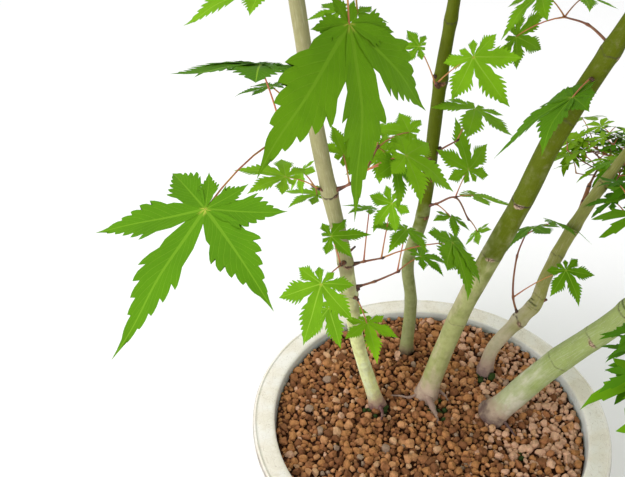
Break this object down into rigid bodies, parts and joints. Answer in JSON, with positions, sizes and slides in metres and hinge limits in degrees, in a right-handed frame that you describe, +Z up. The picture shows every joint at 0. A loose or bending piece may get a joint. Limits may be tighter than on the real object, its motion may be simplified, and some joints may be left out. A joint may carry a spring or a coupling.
{
  "type": "potted five-stem maple bonsai",
  "caption": "Dwarf broadleaf maple grown as a clump of slim stems, in gritty soil in a low round glazed pot.",
  "frame": {"origin": "centre of the pot's flat underside", "axes": "+Z up, -Y towards the viewer, X to the viewer's right"},
  "size_m": [0.456, 0.4239, 0.4865],
  "materials": {
    "glaze": "glossy cream glaze",
    "soil": "matte fired-clay grit",
    "bark": "smooth green bark",
    "twig_bark": "smooth red-brown bark",
    "leaf": "satin leaf"
  },
  "bodies": {
    "root": {"pot": "glaze", "soil": "soil", "stem-left": "bark", "stem-back": "bark", "stem-main": "bark", "stem-right-back": "bark", "stem-right-front": "bark", "bough-front": "twig_bark", "bough-left": "twig_bark", "bough-left-back": "twig_bark", "bough-back": "twig_bark", "bough-back-left": "twig_bark", "bough-back-right": "twig_bark", "bough-main-right": "twig_bark", "bough-main-front": "twig_bark", "bough-main-centre": "twig_bark", "bough-right-back": "twig_bark", "bough-right-front": "twig_bark", "spray-left-front": "leaf", "spray-left-high": "leaf", "spray-left-upper": "leaf", "spray-left-middle": "leaf", "spray-left-right": "leaf", "spray-left-lower": "leaf", "spray-left-low": "leaf", "spray-left-behind": "leaf", "spray-back-upper": "leaf", "spray-back-lower": "leaf", "spray-back-high": "leaf", "spray-main-back": "leaf", "spray-main-front": "leaf", "spray-right-node": "leaf", "crown-left-top": "leaf", "crown-front": "leaf", "crown-left": "leaf", "crown-left-back": "leaf", "crown-back-top": "leaf", "crown-back": "leaf", "crown-back-left": "leaf", "crown-back-right": "leaf", "crown-main-top": "leaf", "crown-main-right": "leaf", "crown-main-front": "leaf", "crown-centre": "leaf", "crown-right-back-top": "leaf", "crown-right-back": "leaf", "crown-right-top": "leaf", "crown-right-front": "leaf", "crown-left-inner": "leaf", "crown-back-inner": "leaf", "crown-main-back": "leaf", "crown-main-low": "leaf", "crown-right": "leaf"}
  },
  "joints": []
}
